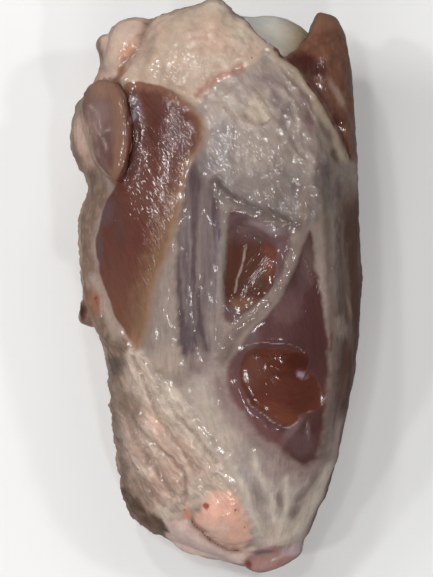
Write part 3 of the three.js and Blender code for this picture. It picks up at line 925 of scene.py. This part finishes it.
# %% Skin, rind and tendon at the hock
def torn(outline):
    """Like area, with an edge that wanders more the steeper the face is."""
    return step(skin.depth(outline) + 4.0 * lumps * (1 - facing_up) + 0.6 * drift, -0.8, 0.8)


scrap = torn(SKIN_EDGE) * step(height + 5 * lumps, 16, 24) * (1 - 0.6 * side)
paint(film, scrap, (214, 190, 182))
paint(film, scrap * fleck * 0.5, (198, 171, 163))
# The red-brown slit under the pink lump, darkened with painted shade.
paint(film, band(LUMP_SLIT, 0.7, 1.3) * above(20) * 0.8, (146, 96, 80))
paint(film, spot(12.3, -99, 3, 2) * 0.8, (196, 170, 148))
rind = torn(RIND) * step(height + 6 * lumps, 12, 22) * (1 - 0.5 * side)
paint(film, rind, (90, 70, 58))
paint(film, rind * fleck * 0.6, (118, 96, 82))
paint(film, torn(TENDON_END) * above(12), (166, 128, 122))
patches_on(film, above(12), [
    (28.6, -97.5, 5, 2.4, 10, 0.9, (196, 176, 179)),
    # Painted shade: a dark violet strip along the top of the tendon's end.
    (17, -98, 5, 1.2, 5, 0.9, (116, 90, 93)),
])
paint(film, spot(11.8, -103, 1.8, 2.4) * above(26) * 0.9, (104, 48, 40))
patches_on(film, above(32), [
    (45.5, -14, 2.6, 5, 15, 1.0, (148, 131, 119)),
    (48.7, -6, 0.7, 5, 12, 0.8, (140, 118, 104)),
    (41.6, -19, 0.9, 4, 0, 0.8, (92, 52, 43)),
    (47.5, -25, 2.4, 6, 0, 0.8, (96, 60, 47)),
    (46, -36, 1.8, 7, 0, 0.8, (108, 75, 62)),
])
paint(film, spot(51.6, 38.5, 1.4, 3.4) * bell((height - 41) / 3), (88, 36, 27))
tell("rind", rind)

# %% [markdown]
# ## Muscle under thin film
# On the right a thin film lies tight on the muscle, which shows plum through it. The folded end
# of the cut muscle at the left has such a film too, tan at its rim. Both get a layer of their
# own, so that the shader can cut its edge sharply against the outer film.

# %% Muscle under thin film
thin = np.tile(srgb(88, 57, 57), (count, 1))
paint(thin, step(east, 20, 36) * 0.9, (80, 47, 44))
paint(thin, step(-east, -16, -6) * 0.8, (108, 79, 78))
patches_on(thin, 1.0, [
    (25, -6, 7, 8, -35, 0.7, (112, 84, 85)),
    (33, 9, 3.5, 9, 0, 0.7, (112, 92, 88)),
    (31, -57, 7, 6, 0, 0.8, (104, 76, 76)),
    (27, -52, 2, 8, -40, 0.7, (132, 108, 108)),
    (33.5, -52, 1.2, 4, 0, 0.7, (122, 98, 99)),
])
border = [(4.6, -31), (7, -38), (11, -45), (16, -51), (22, -56.5)]
paint(thin, band(border, 3.0, 2.4) * 0.8, (114, 76, 74))
patches_on(thin, 1.0, [(12, -18, 5, 4, 40, 0.8, (112, 92, 93)), (31, 3, 2.6, 6, 10, 0.7, (98, 73, 73))])
tell("plum muscle", area(PLUM_MUSCLE))

# %% Folded end of the cut muscle
flap = area(FLAP, 0.5)
paint(thin, flap, (116, 88, 81))
patches_on(thin, flap, [
    (-43, 62, 4.5, 9, -5, 0.9, (130, 106, 102)),
    (-40, 52, 4, 9, 12, 0.9, (104, 76, 71)),
    (-37, 44, 3, 5, 15, 0.9, (98, 68, 57)),
    (-41.5, 74, 7.5, 5, -10, 1.0, (137, 105, 87)),
])
paint(thin, flap * band(shifted(FLAP_CRACK, -2.4, 0), 2.0, 1.6) * 0.9, (132, 99, 81))
paint(thin, band(FLAP_FILM, 0.7, 1.0) * fleck * 0.5, (150, 130, 121))
for streak in FLAP_WEB:
    paint(thin, band(streak, 0.5, 0.8) * 0.6, (156, 135, 129))
tell("folded end", flap)

# %% [markdown]
# ## Bare muscle
# Four places have no film: the cut muscle on the left, the two windows and the muscle beside
# the knee joint. Thick muscle is dark red-brown. Along a rim it thins out and dries to tan.

# %% Cut muscle
bare = np.tile(srgb(98, 54, 43), (count, 1))
patches_on(bare, 1.0, [
    (-19, 58, 11, 12, 0, 1.0, (86, 42, 34)),
    (-30, 45, 3, 8, 0, 0.8, (82, 45, 37)),
    (-25, 34, 8, 9, 0, 0.6, (108, 72, 63)),
    (-36, 26, 4, 12, 10, 0.7, (90, 58, 53)),
])
paint(bare, step(-north, -20, 15), (113, 74, 57))
paint(bare, band(MUSCLE_RIM[4:], 5.0, 6.0) * 0.9, (136, 106, 82))
paint(bare, band(MUSCLE_RIM, 1.8, 2.6) * 0.9, (142, 106, 79))
paint(bare, band(MUSCLE_RIM, 0.6, 1.6) * 0.6, (150, 126, 104))
paint(bare, band(MUSCLE_TOP, 2.6, 2.0), (136, 96, 78))
patches_on(bare, 1.0, [
    (-29, 65.5, 2.4, 5, 15, 0.9, (116, 90, 97)),
    # Painted highlights: two small whitish-violet spots on the violet patch.
    (-30, 62.5, 0.9, 2.2, -10, 1.0, (168, 156, 168)),
    (-30.5, 68.5, 0.7, 1.6, 20, 0.9, (160, 148, 160)),
    (-40, 28, 2.6, 6, -10, 0.9, (96, 72, 76)),
    (-43, 16, 1.6, 12, 0, 0.7, (94, 76, 74)),
])
tell("cut muscle", area(CUT_MUSCLE))

# %% Muscle in the windows
upper = area(UPPER_WINDOW, 0.5)
paint(bare, upper, (80, 43, 31))
patches_on(bare, upper, [
    (19.5, 10, 3.4, 8, 0, 1.0, (102, 55, 36)),
    (9, -6.5, 8, 3.4, 0, 0.9, (120, 86, 65)),
])
paint(bare, upper * step(north, 14, 21) * 0.7, (98, 78, 80))
lower = area(LOWER_WINDOW, 0.5)
paint(bare, lower, (92, 44, 30))
patches_on(bare, lower, [
    (29, -26, 8, 3.5, 0, 1.0, (74, 27, 12)),
    # Painted shadow: a dark strip under the ledge in the lower window.
    (25, -31.5, 7, 1.6, -8, 0.8, (74, 32, 20)),
    (24, -46, 9, 4, -30, 0.8, (112, 62, 42)),
    (13, -30, 5, 7, 0, 0.7, (106, 66, 52)),
    (31, -31.5, 2.4, 1.6, -30, 1.0, (158, 140, 150)),
    # A pale bead, with its shine painted in as a highlight.
    (34, -46, 1.5, 1.2, 0, 0.9, (150, 128, 118)),
])
tell("windows", np.maximum(upper, lower))

# %% Muscle beside the knee joint
knee = area(KNEE_MUSCLE, 0.4)
paint(bare, knee, (116, 76, 58))
paint(bare, knee * fleck * 0.5, (86, 50, 38))
paint(bare, knee * step(drift, 0.0, 0.5) * 0.4, (132, 98, 80))
patches_on(bare, knee, [
    (34, 82, 9, 4, -35, 1.0, (74, 28, 18)),
    (44, 71.5, 1.8, 7.5, 28, 0.9, (158, 132, 118)),
    (24.5, 85, 3, 2, -30, 0.9, (140, 92, 68)),
    (44, 61, 3, 4, -20, 0.8, (88, 40, 26)),
])
paint(bare, knee * step(north, 92, 98), (128, 92, 69))
paint(bare, knee * step(east, 48, 52) * 0.6, (100, 76, 64))
paint(bare, knee * side * step(bellies, -0.3, 0.5) * 0.7, (84, 50, 41))
paint(bare, knee * side * step(sinews, -0.1, 0.7) * 0.7, (140, 116, 104))
tell("knee muscle", knee)

# %% [markdown]
# ## Edges, lines and wetness
# Distances are kept on the mesh instead of finished colours, because a distance is still exact
# between two points. The shader can draw a line of half a millimetre from it. The layers under
# the film are drawn from above like all outlines, so they are hidden where a face is steep.

# %% Edges of the layers
EDGE_LIMIT = 4
FLAP_BOTTOM = 48

rim_softness = 0.45 + 2.0 * bell(skin.from_route(MUSCLE_RIM) / 4)
top_softness = 0.45 + 1.2 * step(north, 12, 20)
bare_edge = np.maximum.reduce([
    skin.depth(CUT_MUSCLE) / rim_softness,
    skin.depth(UPPER_WINDOW) / top_softness,
    skin.depth(LOWER_WINDOW) / 0.4,
    skin.depth(KNEE_MUSCLE) / (0.5 + 2.0 * step(-north, -63, -53)),
])
thin_edge = np.maximum.reduce([
    skin.depth(PLUM_MUSCLE) / (1.0 + 0.8 * step(-north, 20, 40)),
    (skin.depth(FLAP) + 0.9 * drift) / 0.9 - 5 * EDGE_LIMIT * (1 - above(FLAP_BOTTOM)),
])
knee_side = step(skin.depth(KNEE_MUSCLE), -1, 1)
hidden = 1 - step(facing_up + 0.4 * knee_side + 0.25 * lumps, 0.0, 0.35)
bare_edge = np.clip(bare_edge, -EDGE_LIMIT, EDGE_LIMIT) - 2 * EDGE_LIMIT * hidden
thin_edge = np.clip(thin_edge, -EDGE_LIMIT, EDGE_LIMIT) - 2 * EDGE_LIMIT * hidden
tell("bare muscle", bare_edge)
tell("thin film", thin_edge)

# %% Lines and blood spots
LINE_LIMIT = 8


def nearest_line(lines):
    """The distance from the nearest of the lines, counted in widths of that line."""
    nearest = np.minimum.reduce([skin.from_route(route) / width for route, width in lines])
    return np.minimum(nearest, LINE_LIMIT)


# Painted shade: thin dark lines in the crack beside the folded end of the muscle and in the slits at the
# knee and under the pink lump.
slit_shade_line = nearest_line([(FLAP_CRACK, 0.15), (KNEE_SLIT, 0.9), (LUMP_SLIT, 0.22)])
pale_line = nearest_line(
    [(WHITE_VEIN, 0.35), (SECOND_VEIN, 0.25), (WINDOW_LIP, 0.3)]
    + [(thread, 0.2) for thread in PLUM_THREADS + FLAP_WEB + FILM_FOLDS]
)
# Painted shade: soft darker lines in the folds of the lower fat and the wrinkles of the fascia.
fold_shade_line = nearest_line(
    [(fold, 0.55) for fold in FAT_FOLDS] + [(wrinkle, 0.3) for wrinkle in FASCIA_WRINKLES]
)
BLOOD_SPOTS = [
    (9.3, 80.7, 0.7), (12.8, 83.8, 0.5), (-3.9, -80, 1.5), (-28.9, -66.8, 0.6), (6.8, -81.5, 0.5),
    (10.4, -88, 0.5), (-44.6, -3.8, 0.6), (-44.3, -5.6, 0.5), (11.6, -103.4, 1.2), (-11.5, -81.5, 0.5),
]
off_top = 6 * (1 - step(facing_up, 0.1, 0.4))
blood_spot = np.minimum.reduce([skin.from_spot((x, y, r, r, 0)) for x, y, r in BLOOD_SPOTS])
blood_spot = np.minimum(blood_spot, LINE_LIMIT) + off_top
slit_shade_line += off_top
print("points on dark lines:", (slit_shade_line < 1).sum(), "on pale ones:", (pale_line < 1).sum())

# %% Wetness and glints
wet = np.full(count, 0.4)
for outline, amount in [
    (LOWER_FAT, 0.6), (HOCK_SHEATH, 0.3), (KNEE_FASCIA, 1.0), (SILVERSKIN, 0.15), (WHITE_STRIP, 0.15),
    (VEIL, 0.3), (KNEE_FAT, 1.0), (BACK_FAT, 0.3), (PLUM_MUSCLE, 0.15), (FLAP, 0.3), (RIGHT_FLANK, 0.2),
    (CUT_MUSCLE, 0.9), (UPPER_WINDOW, 0.45), (LOWER_WINDOW, 0.25), (KNEE_MUSCLE, 0.4), (PINK_LUMP, 0.8),
    (RIND, 0.1), (TENDON_END, 0.7), (SIDE_LOBE, 0.3),
]:
    wet += step(skin.depth(outline), -1, 1) * (amount - wet)
for route, half_width, amount in [
    (SLANTING_TENDON, 2.5, 0.35), (KNEE_RIM, 2.0, 0.3), (MUSCLE_RIM, 2.2, 0.25), (FLAP_CRACK, 3.0, 0.35),
]:
    wet += band(route, half_width, 1.5) * (amount - wet)
wet *= 0.55 + 0.6 * blotch
sparkly = 0.25 * wet
for *oval, strength in [
    (-24, 36, 10, 19, -20, 1.0), (-15, 62, 9, 9, 0, 0.8), (4, 52, 9, 18, 0, 0.9), (17, 49, 9, 9, 0, 1.0),
    (27, 62, 8, 10, 0, 0.8), (-13, 80, 13, 10, 0, 1.0), (2, 90, 10, 8, 0, 0.6), (12, -6, 10, 4, 40, 0.8),
    (5, 0, 3, 6, 0, 0.8), (-14, -8, 1.2, 14, 0, 0.8), (-25, -40, 10, 16, 30, 0.5),
    (-8, -58, 6, 16, 40, 0.5), (5, -82, 6, 7, 0, 0.7), (12, 28, 12, 3, -20, 0.9),
    (0, -24, 4, 8, 0, 0.6), (24, 2, 3, 6, -30, 0.7), (16, -35, 8, 8, 0, 0.5),
    (43, 72, 3, 8, -20, 0.7), (-42, -10, 2, 8, 20, 0.6),
]:
    sparkly = np.maximum(sparkly, strength * spot(*oval))
print("wetness from", wet.min().round(2), "to", wet.max().round(2))

# %% Values kept on the mesh
def keep(name, values, kind="FLOAT", field="value"):
    data = flesh.data.attributes.new(name, kind, "POINT").data
    data.foreach_set(field, np.asarray(values, np.float32).ravel())


for name, layer in {"film": film, "thin": thin, "bare": bare}.items():
    keep(name, np.hstack([layer, np.ones((count, 1))]), "FLOAT_COLOR", "color")
keep("grain", np.column_stack([across + side * height, along, height]), "FLOAT_VECTOR", "vector")
wrinkled = np.maximum.reduce([fat, 0.35 * sheath, 0.8 * rim_fat, 0.35 * side, 0.3 * fascia]) * (1 - lump)
numbers = {
    "bare_edge": bare_edge, "thin_edge": thin_edge, "wet": wet, "slit_shade_line": slit_shade_line,
    "pale_line": pale_line, "fold_shade_line": fold_shade_line, "blood_spot": blood_spot, "fade": fade,
    "streaky": np.clip(0.6 * stringy - 0.3 * sheath + 0.4 * fat, 0, 1),
    "wrinkly": wrinkled, "sparkly": sparkly,
}
for name, values in numbers.items():
    keep(name, values)
print("kept on the mesh: three colours, the grain,", ", ".join(numbers))

# %% [markdown]
# ## The wet meat's material
# One shader covers the flesh. It mixes the three layers along ragged edges, draws the lines and
# fibres, and sets the wetness. These helpers add nodes to the tree of the material at hand, so
# that the shader itself reads like a recipe.

# %% Node helpers
def node(kind, inputs=None, **settings):
    made = tree.nodes.new(kind)
    for name, value in settings.items():
        setattr(made, name, value)
    feed(made, inputs or {})
    return made


def attribute(name, output="Fac"):
    return node("ShaderNodeAttribute", attribute_name=name).outputs[output]


def mixed(share, under, over, blend="MIX"):
    sockets = {0: share, 6: under, 7: over}
    return node("ShaderNodeMix", sockets, data_type="RGBA", blend_type=blend).outputs[2]


def ranged(value, low, high, to_low=0.0, to_high=1.0):
    ranges = {"Value": value, "From Min": low, "From Max": high, "To Min": to_low, "To Max": to_high}
    return node("ShaderNodeMapRange", ranges, interpolation_type="SMOOTHSTEP").outputs["Result"]


def math_of(operation, first, second):
    return node("ShaderNodeMath", {0: first, 1: second}, operation=operation).outputs[0]


def clouds(where, scale, detail):
    sockets = {"Vector": where, "Scale": scale, "Detail": detail}
    return node("ShaderNodeTexNoise", sockets).outputs["Fac"]


def bump(height, distance, strength=1.0):
    sockets = {"Height": height, "Strength": strength, "Distance": distance}
    return node("ShaderNodeBump", sockets).outputs["Normal"]


def opaque(red, green, blue):
    return (*srgb(red, green, blue), 1)


print("a pale glint is painted as", np.round(opaque(236, 230, 228), 2))

# %% [markdown]
# ## Colour of the meat
# Strands, wrinkles and glints are noises stretched along the grain that the mesh carries, so
# they follow the fibres round every bend. Plain noises mottle the film and make its edges
# ragged. The finest sparkles of a wet face are smaller than a pixel and would be lost, so a few
# short flecks of painted highlight are laid nearly white where the meat is wettest.

# %% Noises of the wet meat
meat, tree, shader = new_material("wet_meat")
place = node("ShaderNodeTexCoord").outputs["Object"]
grain = attribute("grain", "Vector")
fade_out = attribute("fade")


def along_grain(per_mm_across, per_mm_along, detail):
    """Noise around zero that is stretched along the grain and fades out at its borders."""
    stretch = (per_mm_across, per_mm_along, 0.3)
    where = node("ShaderNodeVectorMath", {0: grain, 1: stretch}, operation="MULTIPLY").outputs[0]
    around_zero = math_of("SUBTRACT", clouds(where, 1.0, detail), 0.5)
    return math_of("MULTIPLY", around_zero, fade_out)


strands = along_grain(1.5, 0.16, 3.0)
drops = along_grain(0.7, 0.22, 2.0)
sparkle = along_grain(1.7, 0.5, 1.5)
glint_flecks = along_grain(2.0, 0.5, 1.0)
wrinkles = math_of("MULTIPLY", along_grain(0.9, 0.22, 4.0), attribute("wrinkly"))
fine = clouds(place, 1500.0, 2.0)
rough_edge = clouds(place, 330.0, 3.0)
mottle = clouds(place, 260.0, 3.0)
patches = ranged(clouds(place, 130.0, 2.0), 0.38, 0.62, 0.3, 1.0)
print("nodes of the noises:", len(tree.nodes))

# %% Layers of the wet meat
STRAND_REACH = 0.25
ragged = ranged(rough_edge, 0.25, 0.75, -0.25, 0.25)


def edge_share(name):
    """The share of a layer, cut along its ragged edge."""
    return ranged(math_of("ADD", attribute(name), ragged), -1.0, 1.0)


def lit(name, light):
    return mixed(1.0, attribute(name, "Color"), light, "MULTIPLY")


streaks = math_of("MULTIPLY", strands, ranged(attribute("streaky"), 0.0, 1.0, 0.25, 1.0))
film_light = ranged(streaks, -STRAND_REACH, STRAND_REACH, 0.86, 1.14)
# Painted shade and light: the wrinkles darken the film in the hollows of their bump and lighten it on the
# ridges.
for value, low, high, dark, light in [
    (mottle, 0.25, 0.75, 0.93, 1.07), (fine, 0.3, 0.7, 0.97, 1.03), (wrinkles, -0.2, 0.2, 0.84, 1.12),
]:
    film_light = math_of("MULTIPLY", film_light, ranged(value, low, high, dark, light))
thin_light = ranged(strands, -STRAND_REACH, STRAND_REACH, 0.95, 1.07)
bare_light = ranged(strands, -STRAND_REACH, STRAND_REACH, 0.9, 1.1)
colour = mixed(edge_share("thin_edge"), lit("film", film_light), lit("thin", thin_light))
colour = mixed(edge_share("bare_edge"), colour, lit("bare", bare_light))
print("nodes with the layers:", len(tree.nodes))

# %% Lines and glints of the wet meat
ragged_width = ranged(rough_edge, 0.25, 0.75, 0.75, 1.35)


def line_share(name, low, high, strength):
    uneven = math_of("MULTIPLY", attribute(name), ragged_width)
    return ranged(uneven, low, high, strength, 0.0)


# painted shade along the folds and wrinkles
colour = mixed(line_share("fold_shade_line", 0.2, 2.4, 0.5), colour, opaque(128, 102, 88))
colour = mixed(line_share("pale_line", 0.3, 1.8, 0.55), colour, opaque(180, 164, 156))
# painted shade in the crack and the slits
slit_shade_share = line_share("slit_shade_line", 0.3, 1.6, 0.85)
colour = mixed(slit_shade_share, colour, opaque(84, 42, 30))
colour = mixed(line_share("blood_spot", 0.6, 1.3, 0.85), colour, opaque(150, 46, 34))
# Painted highlights: nearly white flecks mixed into the base colour where the meat is wet.
glint_level = math_of("MULTIPLY", attribute("sparkly"), patches)
glints = math_of("ADD", glint_flecks, ranged(glint_level, 0.05, 0.9, -0.3, -0.12))
colour = mixed(ranged(glints, 0.0, 0.06, 0.0, 0.8), colour, opaque(236, 230, 228))
feed(shader, {"Base Color": colour})
print("nodes with lines and glints:", len(tree.nodes))

# %% [markdown]
# ## Gloss of the meat
# Raw meat is soft tissue under a film of water. A single glossy layer would make it look like
# plastic. Here the tissue below is dull and lets light into it, and a clear coat lies on top
# with a bump of its own. Each small slope of the coat that faces a lamp sparkles, while the
# tissue keeps its soft shading.

# %% Gloss of the wet meat
wetness = attribute("wet")
gloss = ranged(wetness, 0.1, 0.8, 0.55, 0.38)
gloss = math_of("MAXIMUM", gloss, math_of("MULTIPLY", slit_shade_share, 0.8))
feed(shader, {
    "Roughness": gloss,
    "Specular IOR Level": 0.2,
    "Coat Weight": ranged(wetness, 0.05, 0.6, 0.3, 1.0),
    "Coat Roughness": 0.14,
    "Coat IOR": 1.6,
    "Subsurface Weight": 0.3,
    "Subsurface Radius": (1.0, 0.45, 0.3),
    "Subsurface Scale": 1.4 * MM,
})
print("nodes with the gloss:", len(tree.nodes))

# %% Bumps of the wet meat
TISSUE_BUMP = 0.22 * MM
COAT_BUMP = 0.32 * MM


def plus(height, share, value):
    return math_of("ADD", height, math_of("MULTIPLY", value, share))


tissue_height = plus(plus(drops, 0.3, strands), 2.2, wrinkles)
sparkling = math_of("MULTIPLY", sparkle, wetness)
coat_height = plus(plus(sparkling, 0.15, tissue_height), 0.03, fine)
feed(shader, {
    "Normal": bump(tissue_height, TISSUE_BUMP), "Coat Normal": bump(coat_height, COAT_BUMP)
})
flesh.data.materials.append(meat)
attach(flesh, "root")
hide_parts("flesh")
print("wet meat has", len(tree.nodes), "nodes")

# %% [markdown]
# ## The bone's head
# At the knee the end of the shank bone shows between the fat and the muscle. It is covered with
# cartilage: smooth, wet, bluish white like pearl, and amber where it thins out towards its rim.
# The shaft behind it lies inside the flesh. It could be left plain, but whoever takes the pieces
# apart would see it, so it gets the cream and pink of fresh bone.

# %% Bone
BONE_VOXEL = 1.2 * MM

bone = to_object(merged_copy("shank_bone"), "knee_bone")
remesh(bone, BONE_VOXEL)
soften(bone, SMOOTHINGS)
print("bone:", len(bone.data.polygons), "faces")

# %% Cartilage
HEAD_STARTS = (76 * MM, 84 * MM)
AMBER_RIM = (20 * MM, 32 * MM)
DENTS = 0.5 * MM

cartilage, tree, shader = new_material("cartilage")
place = node("ShaderNodeTexCoord").outputs["Object"]
sides = node("ShaderNodeSeparateXYZ", {0: place}).outputs
cloudy = clouds(place, 120.0, 3.0)
pores = clouds(place, 700.0, 3.0)
pearl = mixed(ranged(cloudy, 0.35, 0.65), opaque(204, 201, 190), opaque(190, 191, 186))
head = mixed(ranged(sides["X"], *AMBER_RIM), pearl, opaque(168, 150, 124))
shaft = mixed(ranged(pores, 0.4, 0.62), opaque(206, 182, 160), opaque(172, 122, 104))
feed(shader, {
    "Base Color": mixed(ranged(sides["Y"], *HEAD_STARTS), shaft, head),
    "Roughness": ranged(cloudy, 0.3, 0.7, 0.24, 0.36),
    "Subsurface Weight": 0.2,
    "Subsurface Radius": (1.0, 0.8, 0.6),
    "Subsurface Scale": 1.5 * MM,
    "Normal": bump(cloudy, DENTS, 0.6),
})
bone.data.materials.append(cartilage)
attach(bone, "root")
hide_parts("shank_bone")
print("cartilage has", len(tree.nodes), "nodes")

# %% [markdown]
# Smoothing pulls the meat in a little and the relief pushes it out. The box of the finished
# pieces is set against the box of the plain solids, and how much it grew is printed.

visual_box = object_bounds()
growth = (visual_box[1] - visual_box[0]) - (cad_box[1] - cad_box[0])
print("the box grew by", [round(v / MM, 1) for v in growth], "mm")
